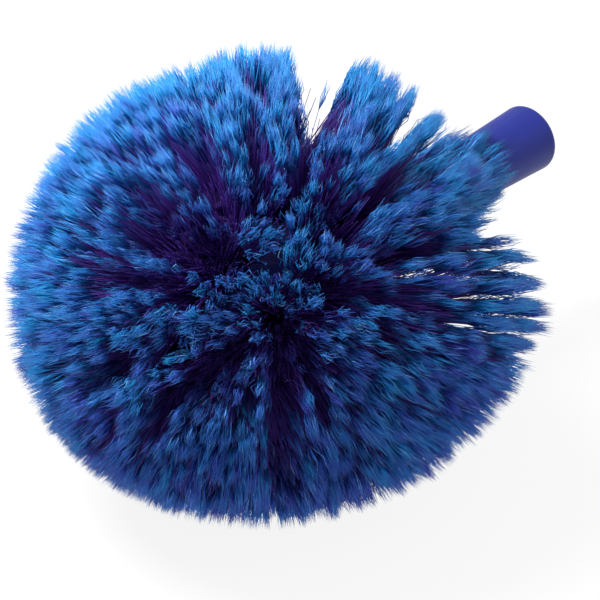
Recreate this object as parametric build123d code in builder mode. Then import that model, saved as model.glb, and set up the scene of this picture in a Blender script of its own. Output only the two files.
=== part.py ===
from build123d import *
from math import acos, atan2, cos, degrees, pi, radians, sin, sqrt
import os

os.makedirs("parts", exist_ok=True)

# Round cobweb brush head, lying on its bristles with the pole socket towards +X.
# The origin is on the floor, under the middle of the whole brush. Millimetres and degrees.

# Ball of bristle ends: an ellipsoid round the brush's axis, as it is trimmed
ball_radius = 110.0
ball_half_length = 118.0

# How the ball gives way under the head's weight
side_spread = 4.0
top_settle = 3.0
floor_squeeze = 16.0  # the whole underside is drawn up by this much
floor_press = 4.0  # and its lowest ends are bent flat by this much more
floor_cut = 0.5  # they are made this much longer, then cut level

# Moulded head: a bulb-shaped block, then the neck and the socket sleeve.
# Places along the axis count from the middle of the ball, + to the socket.
head_length = 228.0
nose_radius = 17.0
nose_middle_place = -31.0
barrel_diameter = 53.4
barrel_start_place = -17.0
barrel_end_place = 12.0
neck_diameter = 28.8
neck_start_place = 44.0
flare_start_place = 130.0

# Threaded socket for a 3/4 inch broom pole, bored to the thread's outer size
socket_bore = 19.2
socket_wall = 6.9
socket_depth = 40.0
socket_lead_in = 1.5
rim_round = 3.5

# Drilled holes for the tufts, in staggered rows from the nose to the neck
row_counts = (1, 3, 4, 5, 6, 6, 5, 4, 3)
last_row_inset = 3.5  # along the block's outline, from the neck
tip_step = 19.5  # turn round the ball between the ends of two rows
hole_diameter = 7.0
hole_depth = 10.5
overrun = 4.0

# A tuft: its folded root fills the hole, and its locks of filaments fan out from there
root_clearance = 0.1
root_sides = 6
root_stub = 1.0

# Locks of filaments, their ends laid over the ball as seeds lie in a sunflower
ball_lock_count = 370
last_lock_angle = 152.0  # round the ball from the nose
lock_turn = 137.5
lock_sides = 3
lock_sink = 1.0
lock_root_radius = 0.45
lock_end_radius = 4.8
ragged_share = 0.05
rear_trim_share = 0.08  # how much shorter the locks get towards the sleeve

# Locks of the last rows that lie along the sleeve, from its middle towards its mouth
sleeve_lock_count = 18
sleeve_first_place = 108.0
sleeve_last_place = 148.0
sleeve_first_gap = 20.0
sleeve_last_gap = 15.0

# Flat wire anchor in the fold of each tuft, longer than the hole is wide
anchor_bite = 0.4
anchor_height = 1.6
anchor_thickness = 0.45
anchor_clearance = 0.05
fold_thickness = 1.2

# Places that follow from the sizes
mouth_place = nose_middle_place - nose_radius + head_length
middle = Vector((ball_half_length - mouth_place) / 2, 0, ball_radius - floor_squeeze - floor_press)
axis_plane = Plane(origin=middle, x_dir=(1, 0, 0), z_dir=(0, -1, 0))
brush_axis = Axis(middle, (1, 0, 0))
mouth_plane = Plane(origin=middle + Vector(mouth_place, 0, 0), x_dir=(0, 1, 0), z_dir=(1, 0, 0))
mouth_radius = socket_bore / 2 + socket_wall
root_radius = hole_diameter / 2 - root_clearance
root_depth = hole_depth - root_clearance
root_spread = root_radius * cos(pi / root_sides) - lock_root_radius
anchor_length = hole_diameter + 2 * anchor_bite
anchor_depth = root_depth - fold_thickness - anchor_height / 2

# The rounded nose runs on to the barrel in a straight taper that touches it
to_barrel = Vector(barrel_start_place - nose_middle_place, barrel_diameter / 2)
nose_turn = 180 - degrees(atan2(to_barrel.Y, to_barrel.X) + acos(nose_radius / to_barrel.length))

# The block's outline in its own half plane, from the tip of the nose to the neck
with BuildLine() as block_outline:
    nose = CenterArc((nose_middle_place, 0), nose_radius, 180, -nose_turn)
    taper = Line(nose @ 1, (barrel_start_place, barrel_diameter / 2))
    barrel = Line(taper @ 1, (barrel_end_place, barrel_diameter / 2))
    shoulder = Line(barrel @ 1, (neck_start_place, neck_diameter / 2))
outline_wire = block_outline.wire()
row_pitch = (outline_wire.length - last_row_inset) / (len(row_counts) - 1)


def turned_out(row, along, off_axis):
    """Points a given way off the axis, one for each tuft of a row. Each second row is staggered."""
    turns = [2 * pi * (index + row % 2 / 2) / row_counts[row] for index in range(row_counts[row])]
    return [middle + Vector(along, off_axis * sin(turn), -off_axis * cos(turn)) for turn in turns]


def tuft_ends(row):
    """Middles of a row's tufts on the ball's surface."""
    angle = radians(row * tip_step)
    return turned_out(row, -ball_half_length * cos(angle), ball_radius * sin(angle))


def tuft_planes(row):
    """Planes at the mouths of a row's holes, each facing out along its tuft."""
    root = outline_wire.position_at(row * row_pitch, position_mode=PositionMode.LENGTH)
    starts = turned_out(row, root.X, root.Y)
    return [Plane(origin=start, z_dir=end - start) for start, end in zip(starts, tuft_ends(row))]


def lock(section, reach):
    """One lock of filaments: a straight three-sided taper that widens towards its end."""
    spokes = [Vector(1, 0).rotate(Axis.Z, 360 * n / lock_sides) for n in range(lock_sides)]
    root = [section.from_local_coords(spoke * lock_root_radius) for spoke in spokes]
    end = [section.offset(reach).from_local_coords(spoke * lock_end_radius) for spoke in spokes]
    sides = [Face(Wire.make_polygon([root[n - 1], root[n], end[n], end[n - 1]])) for n in range(lock_sides)]
    caps = [Face(Wire.make_polygon(root)), Face(Wire.make_polygon(end))]
    return Solid(Shell(sides + caps))


def ball_point(along, off_axis, turn):
    """A point of the trimmed ball, where it comes to lie."""
    across, up = off_axis * sin(turn), off_axis * cos(turn)
    half_height = ball_radius - (top_settle if up > 0 else floor_squeeze)
    return middle + Vector(along, across * (ball_radius + side_spread) / ball_radius, up * half_height / ball_radius)


def lock_ends():
    """Middles of the locks' ends, each with the nearest tuft's number."""
    places = []
    for n in range(ball_lock_count):
        height = 1 - (1 - cos(radians(last_lock_angle))) * (n + 0.5) / ball_lock_count
        trim = 1 - ragged_share * (1 + sin(n)) / 2 - rear_trim_share * max(0, -height)
        places.append((-trim * ball_half_length * height, trim * ball_radius * sqrt(1 - height**2)))
    for n in range(sleeve_lock_count):
        share = (n + 0.5) / sleeve_lock_count
        gap = sleeve_first_gap + (sleeve_last_gap - sleeve_first_gap) * share
        along = sleeve_first_place + (sleeve_last_place - sleeve_first_place) * share
        places.append((along, neck_diameter / 2 + gap))
    ends = []
    for n, (along, off_axis) in enumerate(places):
        end = ball_point(along, off_axis, radians(n * lock_turn))
        distances = [(end - tuft_end).length for row, plane, tuft_end in tufts]
        ends.append((end, distances.index(min(distances))))
    return ends


def row_locks(row):
    """The locks of a row's tufts, each run straight from its tuft's root to its end or the floor."""
    locks = []
    for end, number in ends:
        tuft_row, plane, tuft_end = tufts[number]
        if tuft_row != row:
            continue
        aside = plane.to_local_coords(plane.origin + end - tuft_end)
        start_place = Vector(aside.X, aside.Y) * root_spread / fan_reach
        start = plane.offset(root_stub - lock_sink).from_local_coords(start_place)
        heading = (end - start).normalized()
        reach = (end - start).length
        if heading.Z < 0:
            reach = min(reach, (start.Z + floor_cut) / -heading.Z)
        locks.append(lock(Plane(origin=start, z_dir=heading), reach))
    return locks


rows = range(len(row_counts))
tufts = [(row, plane, end) for row in rows for plane, end in zip(tuft_planes(row), tuft_ends(row))]
ends = lock_ends()
fan_reach = max((end - tufts[number][2]).length for end, number in ends)

# Head: block, neck and socket sleeve in one moulding
with BuildPart() as head_block:
    with BuildSketch(axis_plane):
        with BuildLine():
            add(block_outline.line)
            neck = Line(shoulder @ 1, (flare_start_place, neck_diameter / 2))
            socket = Line(neck @ 1, (mouth_place, mouth_radius))
            mouth = Line(socket @ 1, (mouth_place, 0))
            Line(mouth @ 1, nose @ 0)
        make_face()
    revolve(axis=brush_axis)
    fillet(head_block.faces().sort_by(Axis.X)[-1].edges(), radius=rim_round)
    with Locations(mouth_plane):
        CounterSinkHole(
            radius=socket_bore / 2,
            counter_sink_radius=socket_bore / 2 + socket_lead_in,
            depth=socket_depth,
            counter_sink_angle=90,
        )
    with Locations(*[plane.offset(overrun) for row, plane, end in tufts]):
        Hole(radius=hole_diameter / 2, depth=hole_depth + overrun)
head_block.part.label = "head_block"
export_step(head_block.part, "parts/head_block.step")

# Tufts and anchors, row by row
for row in rows:
    planes = tuft_planes(row)
    anchor_places = [plane.offset(-anchor_depth) for plane in planes]
    with BuildPart() as bristles:
        with BuildSketch(*[plane.offset(-root_depth) for plane in planes]):
            RegularPolygon(radius=root_radius, side_count=root_sides)
        extrude(amount=root_depth + root_stub)
        slot_gap = 2 * anchor_clearance
        with Locations(*anchor_places):
            Box(anchor_length, anchor_thickness + slot_gap, anchor_height + slot_gap, mode=Mode.SUBTRACT)
        add(row_locks(row))
        if bristles.part.bounding_box().min.Z < 0:
            split(bisect_by=Plane.XY, keep=Keep.TOP)
    bristles.part.label = f"bristle_row_{row + 1}"
    export_step(bristles.part, f"parts/bristle_row_{row + 1}.step")

    with BuildPart() as anchors:
        with Locations(*anchor_places):
            Box(anchor_length, anchor_thickness, anchor_height)
    anchors.part.label = f"anchor_row_{row + 1}"
    export_step(anchors.part, f"parts/anchor_row_{row + 1}.step")

print("tufts", len(tufts), "locks", len(ends))
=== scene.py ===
"""Round cobweb brush head: its bristles, plastics and wires, a plain stage and a camera."""

from math import cos, pi, radians, sin
from types import SimpleNamespace

import bmesh
import bpy
import numpy as np
from bpy.props import FloatProperty, FloatVectorProperty, IntProperty, PointerProperty
from mathutils import Matrix, Vector


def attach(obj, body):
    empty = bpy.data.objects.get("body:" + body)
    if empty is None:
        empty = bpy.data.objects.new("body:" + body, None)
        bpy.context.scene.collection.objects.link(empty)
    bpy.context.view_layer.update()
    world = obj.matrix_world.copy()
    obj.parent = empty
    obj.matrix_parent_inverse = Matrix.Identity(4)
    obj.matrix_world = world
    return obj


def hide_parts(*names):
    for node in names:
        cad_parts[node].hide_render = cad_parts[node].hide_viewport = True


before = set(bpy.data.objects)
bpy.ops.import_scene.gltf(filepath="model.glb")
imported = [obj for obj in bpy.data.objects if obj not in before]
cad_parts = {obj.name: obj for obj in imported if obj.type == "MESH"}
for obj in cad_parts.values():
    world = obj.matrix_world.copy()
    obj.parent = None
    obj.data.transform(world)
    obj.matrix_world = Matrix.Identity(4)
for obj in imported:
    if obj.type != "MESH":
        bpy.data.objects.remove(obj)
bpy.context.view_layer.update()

bl_info = {
    "name": "Cobweb Brush Head",
    "version": (1, 0, 0),
    "blender": (4, 5, 0),
    "location": "View3D > Sidebar > Cobweb Brush",
    "description": "Dresses a round cobweb brush head and sets up its studio",
    "category": "Object",
}

MM = 0.001
BODY = "root"
STRAND_UV = "OFBake"
WHITE = (1, 1, 1, 1)

# The thread's ridge: how far it stands from the bore and sinks in its wall, and how wide it is
THREAD_DEPTH = 1.1 * MM
THREAD_SINK = 0.3 * MM
THREAD_CREST = 1.3 * MM
THREAD_ROOT = 2.6 * MM
THREAD_STEPS = 32


class BrushSettings(bpy.types.PropertyGroup):
    """Sizes and colours of the dressed brush head."""

    ball_middle: FloatVectorProperty(
        name="Ball Middle", description="Middle of the ball of bristle ends",
        default=(-0.031, 0.0, 0.090), subtype="TRANSLATION", unit="LENGTH")
    ball_half_length: FloatProperty(
        name="Ball Half Length", description="Reach of the ends along the brush's axis",
        default=0.118, min=0.0, unit="LENGTH")
    ball_half_width: FloatProperty(
        name="Ball Half Width", description="Reach of the ends to the sides",
        default=0.113, min=0.0, unit="LENGTH")
    ball_top: FloatProperty(
        name="Ball Top", description="Reach of the ends upwards",
        default=0.107, min=0.0, unit="LENGTH")
    ball_under: FloatProperty(
        name="Ball Underside",
        description="Reach of the ends downwards, before the floor bends them",
        default=0.094, min=0.0, unit="LENGTH")
    rear_angle: FloatProperty(
        name="Rear Angle", description="Turn round the ball from its nose to the last ends",
        default=radians(154), subtype="ANGLE")
    anchor_depth: FloatProperty(
        name="Anchor Depth", description="From the mouth of a tuft's hole to its wire",
        default=0.0084, min=0.0, unit="LENGTH")
    root_radius: FloatProperty(
        name="Root Radius", description="Filaments start within this radius in their hole",
        default=0.0029, min=0.0, unit="LENGTH")
    lock_count: IntProperty(
        name="Locks", description="Small locks of filaments over the whole ball",
        default=1150, min=1)
    sleeve_lock_count: IntProperty(
        name="Sleeve Locks", description="Locks of the last rows that lie along the sleeve",
        default=130, min=1)
    flake_count: IntProperty(
        name="Flakes per Lock", description="Flagged ends of a lock that hold together",
        default=5, min=1)
    flake_filaments: FloatProperty(
        name="Filaments per Flake", description="Mean number of flagged filaments in a flake",
        default=2.8, min=1.0)
    filler_count: IntProperty(
        name="Fillers per Lock", description="Mean number of shorter filaments round a lock",
        default=18, min=1)
    flag_count: IntProperty(
        name="Flags per Filament", description="Fine fibres that a filament's end splits into",
        default=7, min=1)
    lock_spread: FloatProperty(
        name="Lock Spread", description="Reach of a lock's flakes from its middle",
        default=0.0062, min=0.0, unit="LENGTH")
    filament_radius: FloatProperty(
        name="Filament Radius", description="Half a filament's thickness",
        default=0.00017, min=0.0, unit="LENGTH")
    flag_radius: FloatProperty(
        name="Flag Radius", description="Half a fine fibre's thickness where it splits off",
        default=0.0002, min=0.0, unit="LENGTH")
    flag_spread: FloatProperty(
        name="Flag Spread", description="How far the fine fibres spread from their filament",
        default=0.0021, min=0.0, unit="LENGTH")
    bore_radius: FloatProperty(
        name="Bore Radius", description="Half the socket's bore",
        default=0.0096, min=0.0, unit="LENGTH")
    thread_start: FloatProperty(
        name="Thread Start", description="Where the thread starts, along the brush's axis",
        default=0.1135, unit="LENGTH")
    thread_pitch: FloatProperty(
        name="Thread Pitch", description="The thread's advance in one turn",
        default=0.00508, min=0.0, unit="LENGTH")
    thread_turns: IntProperty(
        name="Thread Turns", description="How often the thread goes round",
        default=6, min=1)
    shaft_colour: FloatVectorProperty(
        name="Shaft Colour", description="Filaments deep in the brush",
        default=(0.052, 0.015, 0.21), subtype="COLOR", min=0.0, max=1.0)
    # Lighter at random, and painted light: the tip colour of the upper side, where the key lamp
    # falls
    tip_colour: FloatVectorProperty(
        name="Tip Colour", description="Flagged ends lighter at random, and painted light on the upper side",
        default=(0.012, 0.26, 0.60), subtype="COLOR", min=0.0, max=1.0)
    # Darker at random, and painted shade: the tip colour of the lower side and of valleys
    dark_and_shaded_colour: FloatVectorProperty(
        name="Dark and Shaded Tip Colour", description="Flagged ends darker at random, and painted shade on the lower side and in valleys",
        default=(0.040, 0.056, 0.40), subtype="COLOR", min=0.0, max=1.0)
    # Painted glints: a pale colour that a few flag ends get in place of highlights
    painted_glint_colour: FloatVectorProperty(
        name="Painted Glint Colour", description="The few flag ends painted pale as glints of light",
        default=(0.18, 0.42, 0.82), subtype="COLOR", min=0.0, max=1.0)
    plastic_colour: FloatVectorProperty(
        name="Plastic Colour", description="Moulded head",
        default=(0.010, 0.018, 0.17), subtype="COLOR", min=0.0, max=1.0)
    wire_colour: FloatVectorProperty(
        name="Wire Colour", description="Galvanised anchors",
        default=(0.56, 0.57, 0.58), subtype="COLOR", min=0.0, max=1.0)


def settings():
    return bpy.context.scene.cobweb_brush


def rgba(colour, factor=1.0):
    return (*[min(1.0, c * factor) for c in colour], 1.0)


def add_object(name, data):
    obj = bpy.data.objects.new(name, data)
    bpy.context.scene.collection.objects.link(obj)
    return obj


def add_piece(name, bm, material):
    """A piece from a finished bmesh, which is freed."""
    mesh = bpy.data.meshes.new(name)
    bm.to_mesh(mesh)
    bm.free()
    mesh.materials.append(material)
    return add_object(name, mesh)


# Materials

# Tones up to here are blue, and beyond it pale painted glints
TONE_TOP = 0.93
# Half way to its end's colour, a filament has this much of it and the rest of the middle colour
HALF_WAY_SHARE = 0.4
HALF_WAY_COLOUR = (0.036, 0.020, 0.28)
# Its shade at the root, and its gain at the very end
ROOT_SHADE = 0.75
END_GAIN = 1.15
# Where the shaft's colour ends, and where the half way and the end colours are reached
SHAFT_STOP = 0.64
HALF_WAY_STOP = 0.77
END_STOP = 0.88


def new_material(name):
    material = bpy.data.materials.new(name)
    material.use_nodes = True
    nodes = material.node_tree.nodes
    return material, nodes, material.node_tree.links, nodes["Principled BSDF"]


def new_node(nodes, kind, **values):
    """A node with the values of its inputs, named with _ for each space."""
    node = nodes.new(kind)
    for name, value in values.items():
        node.inputs[name.replace("_", " ")].default_value = value
    return node


def new_ramp(nodes, first, last, *between):
    """A colour ramp. Each of its stops is a place and a colour."""
    ramp = nodes.new("ShaderNodeValToRGB")
    elements = ramp.color_ramp.elements
    for element, (place, colour) in zip(elements, (first, last)):
        element.position = place
        element.color = colour
    for place, colour in between:
        elements.new(place).color = colour
    return ramp


def bristle_material():
    """Synthetic filament, dark in the shaft and light at its flags. U is its tone, V its length."""
    s = settings()
    material, nodes, links, shader = new_material("flagged_bristle")
    uv = nodes.new("ShaderNodeUVMap")
    uv.uv_map = STRAND_UV
    split = nodes.new("ShaderNodeSeparateXYZ")
    links.new(uv.outputs["UV"], split.inputs["Vector"])
    # One ramp along the filament for each colour of its end, mixed by its tone
    colour = None
    for end_colour, low, high in (
        (s.dark_and_shaded_colour, 0.0, 0.0), (s.tip_colour, 0.0, TONE_TOP), (s.painted_glint_colour, TONE_TOP, 1.0),
    ):
        half_way = [
            HALF_WAY_SHARE * end + (1 - HALF_WAY_SHARE) * middle
            for end, middle in zip(end_colour, HALF_WAY_COLOUR)]
        along = new_ramp(
            nodes, (0.0, rgba(s.shaft_colour, ROOT_SHADE)), (1.0, rgba(end_colour, END_GAIN)),
            (SHAFT_STOP, rgba(s.shaft_colour)), (HALF_WAY_STOP, rgba(half_way)),
            (END_STOP, rgba(end_colour)))
        links.new(split.outputs["Y"], along.inputs["Fac"])
        if colour is None:
            colour = along.outputs["Color"]
            continue
        share = new_node(nodes, "ShaderNodeMapRange", From_Min=low, From_Max=high)
        links.new(split.outputs["X"], share.inputs["Value"])
        mix = nodes.new("ShaderNodeMix")
        mix.data_type = "RGBA"
        links.new(share.outputs["Result"], mix.inputs["Factor"])
        links.new(colour, mix.inputs["A"])
        links.new(along.outputs["Color"], mix.inputs["B"])
        colour = mix.outputs["Result"]
    links.new(colour, shader.inputs["Base Color"])
    shader.inputs["Roughness"].default_value = 0.45
    shader.inputs["Specular IOR Level"].default_value = 0.22
    return material


def plastic_material():
    """Moulded plastic with a faint grain and a few scuffs."""
    s = settings()
    material, nodes, links, shader = new_material("moulded_head")
    place = nodes.new("ShaderNodeTexCoord")
    grain = new_node(nodes, "ShaderNodeTexNoise", Scale=900, Detail=4)
    links.new(place.outputs["Object"], grain.inputs["Vector"])
    bump = new_node(nodes, "ShaderNodeBump", Strength=0.18, Distance=0.2 * MM)
    links.new(grain.outputs["Fac"], bump.inputs["Height"])
    links.new(bump.outputs["Normal"], shader.inputs["Normal"])
    cloud = new_node(nodes, "ShaderNodeTexNoise", Scale=35, Detail=5)
    links.new(place.outputs["Object"], cloud.inputs["Vector"])
    ramp = new_ramp(nodes, (0.3, rgba(s.plastic_colour, 0.8)), (0.7, rgba(s.plastic_colour, 1.15)))
    links.new(cloud.outputs["Fac"], ramp.inputs["Fac"])
    links.new(ramp.outputs["Color"], shader.inputs["Base Color"])
    rough = new_node(nodes, "ShaderNodeMapRange", To_Min=0.45, To_Max=0.62)
    links.new(cloud.outputs["Fac"], rough.inputs["Value"])
    links.new(rough.outputs["Result"], shader.inputs["Roughness"])
    shader.inputs["Specular IOR Level"].default_value = 0.2
    return material


def wire_material():
    """Galvanised flat wire."""
    s = settings()
    material, nodes, links, shader = new_material("galvanised_wire")
    place = nodes.new("ShaderNodeTexCoord")
    spangle = new_node(nodes, "ShaderNodeTexVoronoi", Scale=1200)
    links.new(place.outputs["Object"], spangle.inputs["Vector"])
    ramp = new_ramp(nodes, (0.0, rgba(s.wire_colour, 0.75)), (1.0, rgba(s.wire_colour, 1.1)))
    links.new(spangle.outputs["Color"], ramp.inputs["Fac"])
    links.new(ramp.outputs["Color"], shader.inputs["Base Color"])
    shader.inputs["Metallic"].default_value = 1.0
    shader.inputs["Roughness"].default_value = 0.38
    return material


# Bristles

ROW_COUNT = 9
RANDOM_SEED = 37
GOLDEN_TURN = pi * (3 - 5**0.5)

# How the locks' ends lie over the ball, from 1 at its nose to -1 at its rear
END_JITTER = 0.35
TURN_JITTER = 0.035
END_RANGE = (-0.96, 0.9999)
# Keeps the jitter round the brush small near the nose
NOSE_EASE = 0.02
# Locks get shorter and fewer towards the rear
REAR_TRIM = 0.08
REAR_TRIM_LEAST = 0.2
REAR_THINNING = 0.52
REAR_THINNING_RANGE = (0.05, 0.55)
# Locks near the border of two tufts grow from either, within about this distance
BORDER_MIX = 9 * MM

# The locks along the sleeve, from the neck to the mouth: their places and reach off the axis
SLEEVE_START = 74 * MM
SLEEVE_RUN = 75 * MM
SLEEVE_REACH = 35 * MM
SLEEVE_NARROWING = 16.5 * MM
SLEEVE_JITTER = 1 * MM
SLEEVE_LEAST = 16.5 * MM
SLEEVE_LEAST_GAIN = 1 * MM
# At its top, a little away from the camera, and at its lower near side the bundle is thinner by
# these shares
SLEEVE_TOP_THINNING = 0.46
SLEEVE_TOP_TURN = radians(30)
SLEEVE_TOP_RANGE = (-0.1, 0.5)
SLEEVE_UNDER_THINNING = 0.22
SLEEVE_UNDER_RANGE = (0.3, 1.2)

# What a lock's tone is made of: soft patches, chance, and painted light, which tones tips on the
# upper side, where the key lamp falls, lighter
PATCH_WEIGHT = 0.28
PATCH_SIZE = 50 * MM
PATCH_WAVES = 7
PATCH_STRETCH = (0.7, 1.4)
CHANCE_WEIGHT = 0.22
PAINTED_LIGHT_WEIGHT = 0.50
PAINTED_LIGHT_WAY = (0.45, 0.57, 0.69)

# Flakes: how unevenly they are turned, set low, toned and leant in their lock
FLAKE_TURN_JITTER = 0.35
FLAKE_LEAST_REACH = 0.2
FLAKE_SLEEVE_REACH = 0.42
FLAKE_HEIGHT_LOSS = 0.24
FLAKE_TONE_JITTER = 0.16
FLAKE_LEAN = 1.3 * MM
FLAKE_RADIUS = 1 * MM

# Roots: a filament starts in its hole on the side that its lock leans to
LEAN_WEIGHT = 0.55
LEAN_FULL = 45 * MM
ROOT_DEPTH = 3 * MM

# Fillers: their reach in lock spreads, on the ball and on the sleeve, and their share of the length
FILLER_REACH = 1.7
FILLER_SLEEVE_REACH = 0.5
FILLER_LENGTHS = (0.70, 0.92)
FILLER_BEND = 2.5

# Filaments: how their ends vary, how many stay out of the partings, and how they bend
TIP_SINK = 0.05
TIP_GAIN = 0.03
VALLEY_LOSS = 0.50
VALLEY_FILLER_LOSS = 0.28
LOOSE_SHARE = 0.015
BEND_JITTER = 1.2 * MM
ROOT_PULL = 0.30
ROOT_PULL_WAY = 0.4
TIP_PULL = 0.35
TIP_SPREAD_PULL = 0.35
TIP_FILLER_PULL = 0.2
FILAMENT_TONE_JITTER = 0.06
# Painted shade: a filament's tone in a valley drops by this share, towards the dark colour
VALLEY_PAINTED_SHADE = 0.9
SPLIT_SHARES = (0.75, 0.85)
# A filler's colour stops short of the light end, at this share of the whole length
FILLER_TOP = 0.62

# Flags, the fine fibres that a filament's end splits into. They end this many millimetres past its
# own end.
FLAG_SPREADS = (0.5, 1.6)
FLAG_REACHES = (-3.2, 0.6)
FLAG_BOW = 0.25
FLAG_BEND = 0.9 * MM
FLAG_TONE_JITTER = 0.06
# Painted glints: the share of flags that get the pale colour
GLINT_FLAG_SHARE = 0.04
# Painted shade: in a valley a flag's colour starts and ends this share further down its ramp,
# towards the dark shaft
VALLEY_FLAG_START_SHADE = 0.3
VALLEY_FLAG_END_SHADE = 0.38

# Trimming: the ends' limit in shares of the ball, which rises towards the camera's right
TRIM_LIMIT = 1.03
TRIM_RIGHT_GAIN = 0.03
TRIM_RIGHT_RANGE = (20 * MM, 100 * MM)
TRIM_RAGGED = 0.015
TRIM_REAR_SHARE = 0.6

# Strands: where their rings lie, how thick each ring is, and how close they come to the floor
RING_SHARES = (0.0, 0.5, 1.0)
SHAFT_RINGS = (1.0, 1.0, 0.9)
FLAG_RINGS = (0.8, 1.0, 0.0)
FLOOR_GAP = 0.05 * MM
# The part of U that the tones take up, where it starts, and what it gains round a strand
TONE_U_RUN = 0.97
TONE_U_START = 0.01
ROUND_U_RUN = 0.012

# How the tufts lie apart on the side that the camera sees. A parting is its turn round the line of
# sight at the rim, its half width, both in degrees, where it starts as a share of the way to the
# rim, and by how many degrees it would have turned back at the middle.
PARTINGS = (
    (80, 7.4, 0.56, 28), (71, 0.9, 0.80, 0), (56, 1.3, 0.70, 0), (40, 6.2, 0.44, 2),
    (50.5, 3.2, 0.62, 0), (21, 4.2, 0.66, -8), (14, 1.9, 0.50, -16), (8.5, 1.7, 0.44, -12),
    (4, 2.0, 0.52, -6), (-1, 1.3, 0.60, 0), (-6, 1.2, 0.62, 0), (-10, 1.4, 0.60, 0),
    (169, 0.8, 0.88, 0), (184, 0.7, 0.90, 0), (103, 0.8, 0.84, 0),
)
# A parting opens fully over this share of the way to the rim
PARTING_RUN = 0.16
# A swell or hollow of the rim: its turn, its half width and its share of the reach
SWELLS = (
    (228, 18, 0.07), (345, 14, 0.10), (0, 6, 0.06), (16, 5, -0.10), (97, 5, 0.05),
    (66, 7, 0.05), (108, 14, -0.03), (140, 14, 0.015), (315, 16, 0.02), (46, 3, -0.03),
)
SWELL_RANGE = (0.66, 0.9)
# Valleys between tufts: their two ends, counted from the ball's middle as the camera sees it, and
# their half width, all in millimetres
VALLEYS = (
    (6, -15, 9, -88, 9), (28, 2, 68, -4, 7), (66, -4, 58, -26, 6), (-60, 27, -18, 16, 11),
    (-36, 66, -14, 36, 8), (32, 38, 36, 27, 8), (-36, -46, -13, -24, 7), (-80, -42, -60, -31, 6),
    (28, -58, 17, -26, 5), (-78, 6, -52, 4, 6), (-64, 47, -42, 34, 5), (-8, 78, -3, 42, 5),
    (18, 74, 12, 45, 4), (80, 22, 50, 14, 5), (-52, -62, -40, -44, 5),
)
# From all of a valley's depth to none of it, in half widths off its line
VALLEY_RANGE = (0.6, 1.2)


def unit(vectors):
    return vectors / np.linalg.norm(vectors, axis=-1, keepdims=True)


def square_to(directions):
    """Two directions square to each given one and to each other."""
    helper = np.where(np.abs(directions[..., 2:3]) < 0.9, (0.0, 0.0, 1.0), (0.0, 1.0, 0.0))
    first = unit(np.cross(directions, helper))
    return first, np.cross(directions, first)


def smooth_step(value, low, high):
    share = np.clip((value - low) / (high - low), 0, 1)
    return share * share * (3 - 2 * share)


def smooth_field(places, random, size):
    """A soft random value, 0 to 1, that changes over about a given distance."""
    total = np.zeros(len(places))
    for _ in range(PATCH_WAVES):
        way = random.normal(size=3)
        waves = places @ (way / np.linalg.norm(way)) * 2 * pi / size
        waves = waves * random.uniform(*PATCH_STRETCH)
        total += np.sin(waves + random.uniform(0, 2 * pi))
    return np.clip(0.5 + total / (PATCH_WAVES - 1), 0, 1)


def in_disc(random, count):
    """Points spread evenly over a unit disc."""
    turn, reach = random.uniform(0, 2 * pi, count), np.sqrt(random.uniform(0, 1, count))
    return (reach * np.cos(turn))[:, None], (reach * np.sin(turn))[:, None]


def curve_points(controls, t):
    """Points of cubic curves, given as four arrays of points, at a share of their length."""
    a, b, c, d = controls
    return (1 - t) ** 3 * a + 3 * (1 - t) ** 2 * t * b + 3 * (1 - t) * t**2 * c + t**3 * d


def view_axes():
    """Right, up and towards the camera, one in each row."""
    return np.array([tuple(axis) for axis in camera_axes()])


def ball_axes(points):
    """Half lengths of the ball towards each point."""
    s = settings()
    up = np.where(points[:, 2] > 0, s.ball_top, s.ball_under)
    along, across = (np.full(len(points), half) for half in (s.ball_half_length, s.ball_half_width))
    return np.stack([along, across, up], -1)


def ball_places(nose_share, off_axis_share, turn):
    """Points of the ball as it lies, counted from its middle."""
    s = settings()
    across, up = off_axis_share * np.sin(turn), off_axis_share * np.cos(turn)
    return np.stack([
        -s.ball_half_length * nose_share,
        s.ball_half_width * across,
        np.where(up > 0, s.ball_top, s.ball_under) * up,
    ], -1)


def tufts_of_row(row):
    """Middle of each hole's mouth and the way its tuft points, from the row's wires."""
    s = settings()
    bm = bmesh.new()
    bm.from_mesh(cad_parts[f"anchor_row_{row}"].data)
    bmesh.ops.remove_doubles(bm, verts=bm.verts, dist=0.01 * MM)
    found, seen = [], set()
    for start in bm.verts:
        if start in seen:
            continue
        # All corners of one wire
        island, queue = [], [start]
        seen.add(start)
        while queue:
            vert = queue.pop()
            island.append(vert.co[:])
            for edge in vert.link_edges:
                other = edge.other_vert(vert)
                if other not in seen:
                    seen.add(other)
                    queue.append(other)
        corners = np.array(island)
        middle = corners.mean(0)
        # A wire is longest across its hole, and its second length is along the tuft
        direction = np.linalg.svd(corners - middle)[2][1]
        if direction @ (middle - np.array(s.ball_middle)) < 0:
            direction = -direction
        found.append((middle + direction * s.anchor_depth, direction))
    bm.free()
    return found


def part_tufts(points):
    """Points near the ball's rim, counted from its middle, moved to open partings and swells."""
    axes = view_axes()
    x, y, z = (points @ axes.T).T
    flat = np.hypot(x, y)
    turn = np.degrees(np.arctan2(y, x))
    ball_share = np.linalg.norm(points / ball_axes(points), axis=1) + 1e-9
    rim_share = flat / ball_share / settings().ball_half_length
    reach = np.ones(len(points))
    for at, half_width, share in SWELLS:
        away = (turn - at + 180) % 360 - 180
        reach += share * smooth_step(rim_share, *SWELL_RANGE) * np.exp(-((away / half_width) ** 2))
    for at, half_width, start, lean in PARTINGS:
        away = (turn - at + lean * (1 - rim_share) + 180) % 360 - 180
        moved = np.sign(away) * (half_width + np.abs(away) / 2)
        open_share = smooth_step(rim_share, start, start + PARTING_RUN)
        turn += np.where(np.abs(away) < 2 * half_width, (moved - away) * open_share, 0)
    turn = np.radians(turn)
    return np.stack([flat * reach * np.cos(turn), flat * reach * np.sin(turn), z], -1) @ axes


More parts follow.
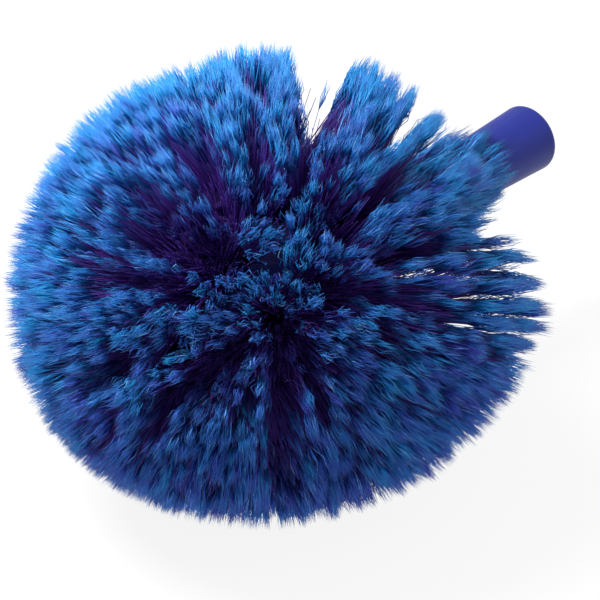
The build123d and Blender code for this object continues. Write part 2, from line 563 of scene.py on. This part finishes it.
def valley_share(points):
    """How deep in a valley points lie, 0 to 1, for points counted from the ball's middle."""
    seen = points @ view_axes().T / MM
    deepest = np.zeros(len(points))
    for x1, y1, x2, y2, half_width in VALLEYS:
        start, run = np.array([x1, y1]), np.array([x2 - x1, y2 - y1])
        along = np.clip((seen[:, :2] - start) @ run / (run @ run), 0, 1)
        off = np.linalg.norm(seen[:, :2] - start - along[:, None] * run, axis=1)
        inside = 1 - smooth_step(off / half_width, *VALLEY_RANGE)
        deepest = np.maximum(deepest, inside * (seen[:, 2] > 0))
    return deepest


def trimmed(tips, random):
    """Tips that reach past the ball drawn back to it, as shears would leave them."""
    s = settings()
    middle = np.array(s.ball_middle)
    local = tips - middle
    behind = local[:, 0] > TRIM_REAR_SHARE * s.ball_half_length
    share = np.linalg.norm(local / ball_axes(local), axis=1)
    to_right = smooth_step(local @ view_axes()[0], *TRIM_RIGHT_RANGE)
    limit = TRIM_LIMIT + TRIM_RIGHT_GAIN * to_right
    limit = limit - TRIM_RAGGED * random.uniform(0, 1, len(tips))
    return middle + local * np.where(behind, 1, np.minimum(1, limit / share))[:, None]


def ball_lock_ends(random):
    """Ends of the ball's locks, counted from its middle, laid as seeds lie in a sunflower."""
    s = settings()
    n = np.arange(s.lock_count)
    nose_share = 1 - (1 - cos(s.rear_angle)) * (n + 0.5) / s.lock_count
    nose_share = nose_share + random.normal(0, END_JITTER / np.sqrt(s.lock_count), len(n))
    nose_share = np.clip(nose_share, *END_RANGE)
    jitter = random.normal(0, TURN_JITTER, len(n)) / np.sqrt(1 - nose_share**2 + NOSE_EASE)
    ends = ball_places(nose_share, np.sqrt(1 - nose_share**2), n * GOLDEN_TURN + jitter)
    rear = np.clip(-nose_share, 0, 1)
    ends *= (1 - rear * REAR_TRIM * random.uniform(REAR_TRIM_LEAST, 1, len(n)))[:, None]
    left_out = REAR_THINNING * smooth_step(rear, *REAR_THINNING_RANGE)
    return ends[random.uniform(0, 1, len(n)) > left_out]


def sleeve_lock_ends(random):
    """Ends of the locks that lie along the sleeve, counted from the ball's middle."""
    s = settings()
    n = np.arange(s.sleeve_lock_count)
    share = (n + random.uniform(0, 1, len(n))) / s.sleeve_lock_count
    turn = n * GOLDEN_TURN
    off_axis = SLEEVE_REACH - SLEEVE_NARROWING * share + random.normal(0, SLEEVE_JITTER, len(n))
    top = smooth_step(np.cos(turn - SLEEVE_TOP_TURN), *SLEEVE_TOP_RANGE)
    under = smooth_step(-np.cos(turn) - np.sin(turn), *SLEEVE_UNDER_RANGE)
    off_axis *= 1 - SLEEVE_TOP_THINNING * top
    off_axis *= 1 - SLEEVE_UNDER_THINNING * under
    off_axis = np.maximum(off_axis, SLEEVE_LEAST + SLEEVE_LEAST_GAIN * share)
    along = SLEEVE_START + SLEEVE_RUN * share
    return np.stack([along, off_axis * np.sin(turn), off_axis * np.cos(turn)], -1)


def plan_locks(random):
    """Where each small lock of filaments starts and ends, its tuft and its tone."""
    s = settings()
    middle = np.array(s.ball_middle)
    tufts = [(row, *tuft) for row in range(1, ROW_COUNT + 1) for tuft in tufts_of_row(row)]
    rows, mouths, ways = (np.array(values) for values in zip(*tufts))
    mouths = mouths - middle
    # Where each tuft's own line leaves the ball
    scale = np.array([s.ball_half_length, s.ball_half_width, s.ball_top])
    start, step = mouths / scale, ways / scale
    a, b, c = (step**2).sum(1), (start * step).sum(1), (start**2).sum(1) - 1
    tuft_ends = mouths + ways * ((-b + np.sqrt(b * b - a * c)) / a)[:, None]
    on_ball_ends = ball_lock_ends(random)
    ends = np.vstack([on_ball_ends, sleeve_lock_ends(random)])
    distances = np.linalg.norm(ends[:, None] - tuft_ends[None], axis=2)
    distances += random.normal(0, BORDER_MIX, distances.shape)
    # Painted light: ends towards the upper side, where the key lamp falls, get a lighter tone
    painted_light = (unit(ends) @ np.array(PAINTED_LIGHT_WAY) + 1) / 2
    tone = PATCH_WEIGHT * smooth_field(ends, random, PATCH_SIZE)
    tone = tone + CHANCE_WEIGHT * random.uniform(0, 1, len(ends)) + PAINTED_LIGHT_WEIGHT * painted_light
    return SimpleNamespace(
        rows=rows, mouths=mouths + middle, ways=ways, ends=ends + middle, tone=tone,
        tuft=np.argmin(distances, axis=1), on_ball=np.arange(len(ends)) < len(on_ball_ends))


def plan_flakes(random, locks):
    """The few flakes of flagged filaments in which each lock ends, each at its own height."""
    s = settings()
    lock_count = len(locks.ends)
    lock = np.repeat(np.arange(lock_count), s.flake_count)
    number = np.tile(np.arange(s.flake_count), lock_count)
    count = len(lock)
    first_turn = np.repeat(random.uniform(0, 2 * pi, lock_count), s.flake_count)
    turn = number * 2 * pi / s.flake_count + first_turn
    turn += random.normal(0, FLAKE_TURN_JITTER, count)
    reach = s.lock_spread * np.sqrt(random.uniform(FLAKE_LEAST_REACH, 1, count))
    reach = reach * np.where(locks.on_ball[lock], 1, FLAKE_SLEEVE_REACH)
    return SimpleNamespace(
        lock=lock, x=reach * np.cos(turn), y=reach * np.sin(turn),
        height=1 - FLAKE_HEIGHT_LOSS * random.uniform(0, 1, count) ** 3,
        tone=random.normal(0, FLAKE_TONE_JITTER, count),
        lean=random.normal(0, FLAKE_LEAN, (count, 3)),
        filaments=random.poisson(s.flake_filaments - 1, count) + 1)


def grow_filaments(random, locks):
    """Courses and tones of all filaments. The flagged ones come first, and then the fillers."""
    s = settings()
    middle = np.array(s.ball_middle)
    flakes = plan_flakes(random, locks)
    flake = np.repeat(np.arange(len(flakes.lock)), flakes.filaments)
    lock_numbers = np.arange(len(locks.ends))
    filler_lock = np.repeat(lock_numbers, random.poisson(s.filler_count, len(lock_numbers)))
    lock = np.concatenate([flakes.lock[flake], filler_lock])
    total, flagged = len(lock), len(flake)
    has_flags = np.arange(total) < flagged
    tuft = locks.tuft[lock]
    mouth, way, end = locks.mouths[tuft], locks.ways[tuft], locks.ends[lock]
    lean = end - mouth
    # Start in the hole, on the side that the lock leans to
    first, second = square_to(way)
    aside = np.stack([(lean * first).sum(1), (lean * second).sum(1)], -1)
    x, y = in_disc(random, total)
    start = LEAN_WEIGHT * aside / LEAN_FULL + (1 - LEAN_WEIGHT) * np.hstack([x, y])
    start = start / np.maximum(1, np.linalg.norm(start, axis=1))[:, None] * s.root_radius
    root = mouth + first * start[:, :1] + second * start[:, 1:] - way * ROOT_DEPTH
    # End in the flake, or for a filler anywhere round the lock
    out = unit(lean)
    wide, high = square_to(out)
    x, y = in_disc(random, total)
    filler_reach = np.where(locks.on_ball[filler_lock], FILLER_REACH, FILLER_SLEEVE_REACH)
    for places, flake_places in ((x, flakes.x), (y, flakes.y)):
        places[:flagged] = places[:flagged] * FLAKE_RADIUS + flake_places[flake][:, None]
        places[flagged:] *= (filler_reach * s.lock_spread)[:, None]
    offset = wide * x + high * y
    length_share = random.uniform(*FILLER_LENGTHS, total)
    sink = TIP_SINK * random.uniform(0, 1, flagged) ** 2
    length_share[:flagged] = flakes.height[flake] - sink + TIP_GAIN
    in_valley = valley_share(end + offset - middle)
    length_share *= 1 - in_valley * np.where(has_flags, VALLEY_LOSS, VALLEY_FILLER_LOSS)
    tip = mouth + lean * length_share[:, None] + offset
    loose = random.uniform(0, 1, total) < LOOSE_SHARE
    parted = locks.on_ball[lock] & ~loose
    tip = np.where(parted[:, None], part_tufts(tip - middle) + middle, tip)
    tip = trimmed(tip, random)
    # A curve from the hole's own line over to the lock's
    length = np.linalg.norm(tip - root, axis=1)[:, None]
    bend = random.normal(0, BEND_JITTER, (total, 3))
    bend[:flagged] += flakes.lean[flake]
    bend[flagged:] *= FILLER_BEND
    root_way = ROOT_PULL_WAY * way + (1 - ROOT_PULL_WAY) * out
    spread_pull = np.where(has_flags, TIP_SPREAD_PULL, TIP_FILLER_PULL)[:, None]
    controls = (
        root,
        root + root_way * ROOT_PULL * length,
        tip - out * TIP_PULL * length - offset * spread_pull + bend,
        tip,
    )
    tone = locks.tone[lock] + random.normal(0, FILAMENT_TONE_JITTER, total)
    tone[:flagged] += flakes.tone[flake]
    # Painted shade: deep in a valley the tone drops towards the dark colour
    tone = np.clip(tone * (1 - VALLEY_PAINTED_SHADE * in_valley), 0, TONE_TOP)
    # The shaft of a flagged filament ends where its flags split off
    split_share = np.ones(total)
    split_share[:flagged] = random.uniform(*SPLIT_SHARES, flagged)
    shafts = [curve_points(controls, share * split_share[:, None]) for share in RING_SHARES]
    return SimpleNamespace(
        flagged=flagged, tuft=tuft, tip=tip, wide=wide, high=high, in_valley=in_valley,
        shafts=np.stack(shafts, 1), tone=tone, split_share=split_share,
        top=np.where(has_flags, split_share, FILLER_TOP))


def grow_flags(random, filaments):
    """Fine fibres that a flagged filament's end splits into, with the filament that each is of."""
    s = settings()
    of = np.repeat(np.arange(filaments.flagged), s.flag_count)
    tip, in_valley = filaments.tip[of], filaments.in_valley[of]
    x, y = in_disc(random, len(of))
    spread = random.uniform(*FLAG_SPREADS, filaments.flagged)[of, None]
    offset = (filaments.wide[of] * x + filaments.high[of] * y) * s.flag_spread * spread
    base = filaments.shafts[of, -1]
    forward = unit(tip - base)
    end = tip + offset + forward * random.uniform(*FLAG_REACHES, len(of))[:, None] * MM
    end = trimmed(end, random)
    half_way = (base + end) / 2 + offset * FLAG_BOW + random.normal(0, FLAG_BEND, base.shape)
    tone = filaments.tone[of] + random.normal(0, FLAG_TONE_JITTER, len(of))
    tone = np.clip(tone, 0, TONE_TOP)
    # A few flags get the pale colour as painted glints, but none deep in a valley
    tone[(random.uniform(0, 1, len(of)) < GLINT_FLAG_SHARE) & (in_valley < 0.5)] = 1.0
    # Painted shade: in a valley a flag's colour is taken from further down its ramp, nearer the
    # dark shaft
    low = filaments.split_share[of] * (1 - VALLEY_FLAG_START_SHADE * in_valley)
    high = 1 - VALLEY_FLAG_END_SHADE * in_valley
    return SimpleNamespace(
        of=of, paths=np.stack([base, half_way, end], 1), tone=tone, span=np.stack([low, high], -1))


def strand_template(name, tipped):
    """A unit three-sided strand along Z with its rings, closed at both ends."""
    bm = bmesh.new()
    bmesh.ops.create_cone(
        bm, cap_ends=True, segments=3, radius1=1, radius2=0 if tipped else 1, depth=1,
        matrix=Matrix.Translation((0, 0, 0.5)))
    for share in RING_SHARES[1:-1]:
        bmesh.ops.bisect_plane(
            bm, geom=bm.verts[:] + bm.edges[:] + bm.faces[:],
            plane_co=(0, 0, share), plane_no=(0, 0, 1))
    mesh = bpy.data.meshes.new(name)
    bm.to_mesh(mesh)
    bm.free()
    mesh.uv_layers.new(name=STRAND_UV)
    return mesh


def laid_strands(name, paths, radii, tones, spans):
    """One mesh of many strands: a template repeated, then laid along each path."""
    template = strand_template(name, radii[-1] == 0)
    unit_places = np.array([v.co for v in template.vertices])
    sides = len(unit_places)
    obj = add_object(name, template)
    repeat = obj.modifiers.new("repeat", "ARRAY")
    repeat.count = len(paths)
    depsgraph = bpy.context.evaluated_depsgraph_get()
    mesh = bpy.data.meshes.new_from_object(obj.evaluated_get(depsgraph))
    bpy.data.objects.remove(obj)
    bpy.data.meshes.remove(template)
    # Each corner goes round its ring, and the middle of a pointed end stays on the path
    shares = np.array(RING_SHARES)
    ring = np.array([int(np.argmin(np.abs(shares - z))) for z in unit_places[:, 2]])
    turns = np.arctan2(unit_places[:, 1], unit_places[:, 0])
    off_path = np.where(np.hypot(*unit_places[:, :2].T) > 1e-6, 1.0, 0.0)
    size = (np.asarray(radii)[ring] * off_path)[None, :, None]
    forward = unit(np.gradient(paths, axis=1))
    first, second = square_to(forward[:, :1].repeat(len(shares), 1))
    second = unit(np.cross(forward, first))
    first = np.cross(second, forward)
    cosines, sines = np.cos(turns)[None, :, None], np.sin(turns)[None, :, None]
    places = paths[:, ring] + size * (cosines * first[:, ring] + sines * second[:, ring])
    places[..., 2] = np.maximum(places[..., 2], FLOOR_GAP)
    mesh.vertices.foreach_set("co", places.astype(np.float32).ravel())
    corner = np.empty(len(mesh.loops), np.int32)
    mesh.loops.foreach_get("vertex_index", corner)
    strand, vertex = corner // sides, corner % sides
    across = (turns[vertex] / pi + 1) / 2
    u = tones[strand] * TONE_U_RUN + TONE_U_START + ROUND_U_RUN * across
    low, high = spans[strand].T
    v = low + (high - low) * shares[ring[vertex]]
    uv = np.stack([u, v], -1).astype(np.float32)
    mesh.uv_layers[STRAND_UV].data.foreach_set("uv", uv.ravel())
    mesh.update()
    return mesh


def grow_bristles():
    """Every filament of every tuft, row by row, as a list of piece names, rows and meshes."""
    s = settings()
    random = np.random.default_rng(RANDOM_SEED)
    locks = plan_locks(random)
    filaments = grow_filaments(random, locks)
    flags = grow_flags(random, filaments)
    pieces = []
    for row in range(1, ROW_COUNT + 1):
        members = np.flatnonzero(locks.rows == row)
        # The fuller rows are two pieces, so that each can keep all its faces
        parts = [members] if len(members) < 3 else np.array_split(members, 2)
        for number, part in enumerate(parts):
            name = f"tufts_row_{row}" + (f"_{'ab'[number]}" if len(parts) > 1 else "")
            chosen = np.isin(filaments.tuft, part)
            mine = chosen[flags.of]
            shaft_span = np.stack([np.zeros(chosen.sum()), filaments.top[chosen]], -1)
            shaft_mesh = laid_strands(
                name, filaments.shafts[chosen], [s.filament_radius * ring for ring in SHAFT_RINGS],
                filaments.tone[chosen], shaft_span)
            flag_mesh = laid_strands(
                name, flags.paths[mine], [s.flag_radius * ring for ring in FLAG_RINGS],
                flags.tone[mine], flags.span[mine])
            pieces.append((name, row, shaft_mesh, flag_mesh))
    return pieces


class BRUSH_OT_bristles(bpy.types.Operator):
    """Grow the tufts of flagged filaments"""

    bl_idname = "cobweb_brush.bristles"
    bl_label = "Grow Bristles"

    def execute(self, context):
        material = bristle_material()
        for name, row, *meshes in grow_bristles():
            bm = bmesh.new()
            for mesh in meshes:
                bm.from_mesh(mesh)
                bpy.data.meshes.remove(mesh)
            tufts = add_piece(name, bm, material)
            tufts.data.shade_smooth()
            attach(tufts, BODY)
            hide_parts(f"bristle_row_{row}")
        return {"FINISHED"}


class BRUSH_OT_head(bpy.types.Operator):
    """Give the moulded head its plastic and the thread in its socket"""

    bl_idname = "cobweb_brush.head"
    bl_label = "Finish Head"

    def execute(self, context):
        s = settings()
        material = plastic_material()
        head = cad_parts["head_block"]
        head.data.materials.clear()
        head.data.materials.append(material)
        # A ridge in the half plane above the axis, swept round the bore
        bm = bmesh.new()
        centre = Vector((s.thread_start, 0, s.ball_middle[2]))
        bmesh.ops.create_grid(
            bm, x_segments=1, y_segments=1, size=0.5,
            matrix=Matrix.Translation(centre) @ Matrix.Rotation(pi / 2, 4, "X"))
        for vert in bm.verts:
            inner = vert.co.z < centre.z
            half_width = THREAD_CREST / 2 if inner else THREAD_ROOT / 2
            vert.co.x = centre.x + (half_width if vert.co.x > centre.x else -half_width)
            vert.co.z = centre.z + s.bore_radius - (THREAD_DEPTH if inner else -THREAD_SINK)
        turns = s.thread_turns
        bmesh.ops.spin(
            bm, geom=bm.verts[:] + bm.edges[:] + bm.faces[:], cent=centre, axis=(1, 0, 0),
            dvec=(s.thread_pitch / THREAD_STEPS, 0, 0),
            angle=2 * pi * turns, steps=turns * THREAD_STEPS)
        bmesh.ops.holes_fill(bm, edges=[e for e in bm.edges if e.is_boundary], sides=4)
        bmesh.ops.recalc_face_normals(bm, faces=bm.faces)
        thread = add_piece("socket_thread", bm, material)
        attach(thread, BODY)
        return {"FINISHED"}


class BRUSH_OT_anchors(bpy.types.Operator):
    """Give the wire anchors their metal"""

    bl_idname = "cobweb_brush.anchors"
    bl_label = "Finish Anchors"

    def execute(self, context):
        material = wire_material()
        for name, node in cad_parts.items():
            if name.startswith("anchor_row"):
                node.data.materials.clear()
                node.data.materials.append(material)
        return {"FINISHED"}


# Stage

CAMERA_AZIMUTH = radians(-46.8)
CAMERA_ELEVATION = radians(34.3)
CAMERA_DISTANCE = 1.2
CAMERA_LENS = 164.6
AIM_RIGHT = 12.9 * MM
AIM_UP = -4.4 * MM
FLOOR_RADIUS = 6
# How much of the floor is its own white to the camera, and the rest takes light and shadow
FLOOR_GLOW_SHARE = 0.88
WORLD_STRENGTH = 0.52
# Lamps: how far right, up and towards the camera they stand, their diameter and power in watts
LAMPS = (
    ("key", -0.65, 1.1, 0.6, 0.7, 32),
    ("fill", 1.1, 0.5, 0.8, 1.0, 5),
)


def camera_axes():
    """Right, up and towards the camera."""
    a, e = CAMERA_AZIMUTH, CAMERA_ELEVATION
    right = Vector((cos(a), sin(a), 0))
    back = Vector((sin(a) * cos(e), -cos(a) * cos(e), sin(e)))
    return right, back.cross(right), back


def add_lamp(name, place, aim, size, power):
    lamp = add_object(name, bpy.data.lights.new(name, "AREA"))
    lamp.data.shape = "DISK"
    lamp.data.size = size
    lamp.data.energy = power
    lamp.location = place
    lamp.rotation_euler = (aim - place).to_track_quat("-Z", "Y").to_euler()


def studio_world():
    """Even light, which the camera, mirrors and glass see as white."""
    world = bpy.data.worlds.new("studio")
    world.use_nodes = True
    nodes, links = world.node_tree.nodes, world.node_tree.links
    light = nodes["Background"]
    light.inputs["Color"].default_value = WHITE
    light.inputs["Strength"].default_value = WORLD_STRENGTH
    seen = new_node(nodes, "ShaderNodeBackground", Color=WHITE)
    path = nodes.new("ShaderNodeLightPath")
    ray = path.outputs["Is Camera Ray"]
    for other in ("Is Glossy Ray", "Is Transmission Ray"):
        either = nodes.new("ShaderNodeMath")
        either.operation = "MAXIMUM"
        links.new(ray, either.inputs[0])
        links.new(path.outputs[other], either.inputs[1])
        ray = either.outputs[0]
    mix = nodes.new("ShaderNodeMixShader")
    links.new(ray, mix.inputs["Fac"])
    links.new(light.outputs[0], mix.inputs[1])
    links.new(seen.outputs[0], mix.inputs[2])
    links.new(mix.outputs[0], nodes["World Output"].inputs["Surface"])
    bpy.context.scene.world = world


def floor_material():
    """White paper that keeps a soft shadow."""
    material, nodes, links, shader = new_material("floor_paper")
    shader.inputs["Base Color"].default_value = (0.9, 0.9, 0.9, 1)
    shader.inputs["Roughness"].default_value = 0.9
    glow = new_node(nodes, "ShaderNodeEmission", Color=WHITE)
    path = nodes.new("ShaderNodeLightPath")
    share = nodes.new("ShaderNodeMath")
    share.operation = "MULTIPLY"
    share.inputs[1].default_value = FLOOR_GLOW_SHARE
    links.new(path.outputs["Is Camera Ray"], share.inputs[0])
    mix = nodes.new("ShaderNodeMixShader")
    links.new(share.outputs[0], mix.inputs["Fac"])
    links.new(shader.outputs[0], mix.inputs[1])
    links.new(glow.outputs[0], mix.inputs[2])
    links.new(mix.outputs[0], nodes["Material Output"].inputs["Surface"])
    return material


class BRUSH_OT_stage(bpy.types.Operator):
    """Lay the floor and set up the lamps and the camera"""

    bl_idname = "cobweb_brush.stage"
    bl_label = "Set Stage"

    def execute(self, context):
        scene = context.scene
        scene.view_settings.view_transform = "Standard"
        studio_world()
        bm = bmesh.new()
        bmesh.ops.create_circle(bm, cap_ends=True, segments=64, radius=FLOOR_RADIUS)
        floor = add_piece("floor", bm, floor_material())
        right, up, back = camera_axes()
        middle = Vector(settings().ball_middle)
        for name, to_right, to_up, to_back, size, power in LAMPS:
            place = middle + right * to_right + up * to_up + back * to_back
            add_lamp(name, place, middle, size, power)
        camera = add_object("camera", bpy.data.cameras.new("camera"))
        camera.data.lens = CAMERA_LENS
        aim = middle + right * AIM_RIGHT + up * AIM_UP
        camera.location = aim + back * CAMERA_DISTANCE
        camera.rotation_euler = (-back).to_track_quat("-Z", "Y").to_euler()
        scene.camera = camera
        return {"FINISHED"}


class BRUSH_PT_sidebar(bpy.types.Panel):
    """Sizes, colours and steps of the brush head"""

    bl_idname = "BRUSH_PT_sidebar"
    bl_label = "Cobweb Brush"
    bl_space_type = "VIEW_3D"
    bl_region_type = "UI"
    bl_category = "Cobweb Brush"

    def draw(self, context):
        column = self.layout.column()
        for name in BrushSettings.__annotations__:
            column.prop(context.scene.cobweb_brush, name)
        for operator in OPERATORS:
            column.operator(operator.bl_idname)


OPERATORS = (BRUSH_OT_head, BRUSH_OT_anchors, BRUSH_OT_bristles, BRUSH_OT_stage)
CLASSES = (BrushSettings, *OPERATORS, BRUSH_PT_sidebar)


def register():
    for cls in CLASSES:
        bpy.utils.register_class(cls)
    bpy.types.Scene.cobweb_brush = PointerProperty(type=BrushSettings)


def unregister():
    del bpy.types.Scene.cobweb_brush
    for cls in reversed(CLASSES):
        bpy.utils.unregister_class(cls)


def main():
    register()
    bpy.ops.cobweb_brush.head()
    bpy.ops.cobweb_brush.anchors()
    bpy.ops.cobweb_brush.bristles()
    bpy.ops.cobweb_brush.stage()


if __name__ == "__main__":
    main()
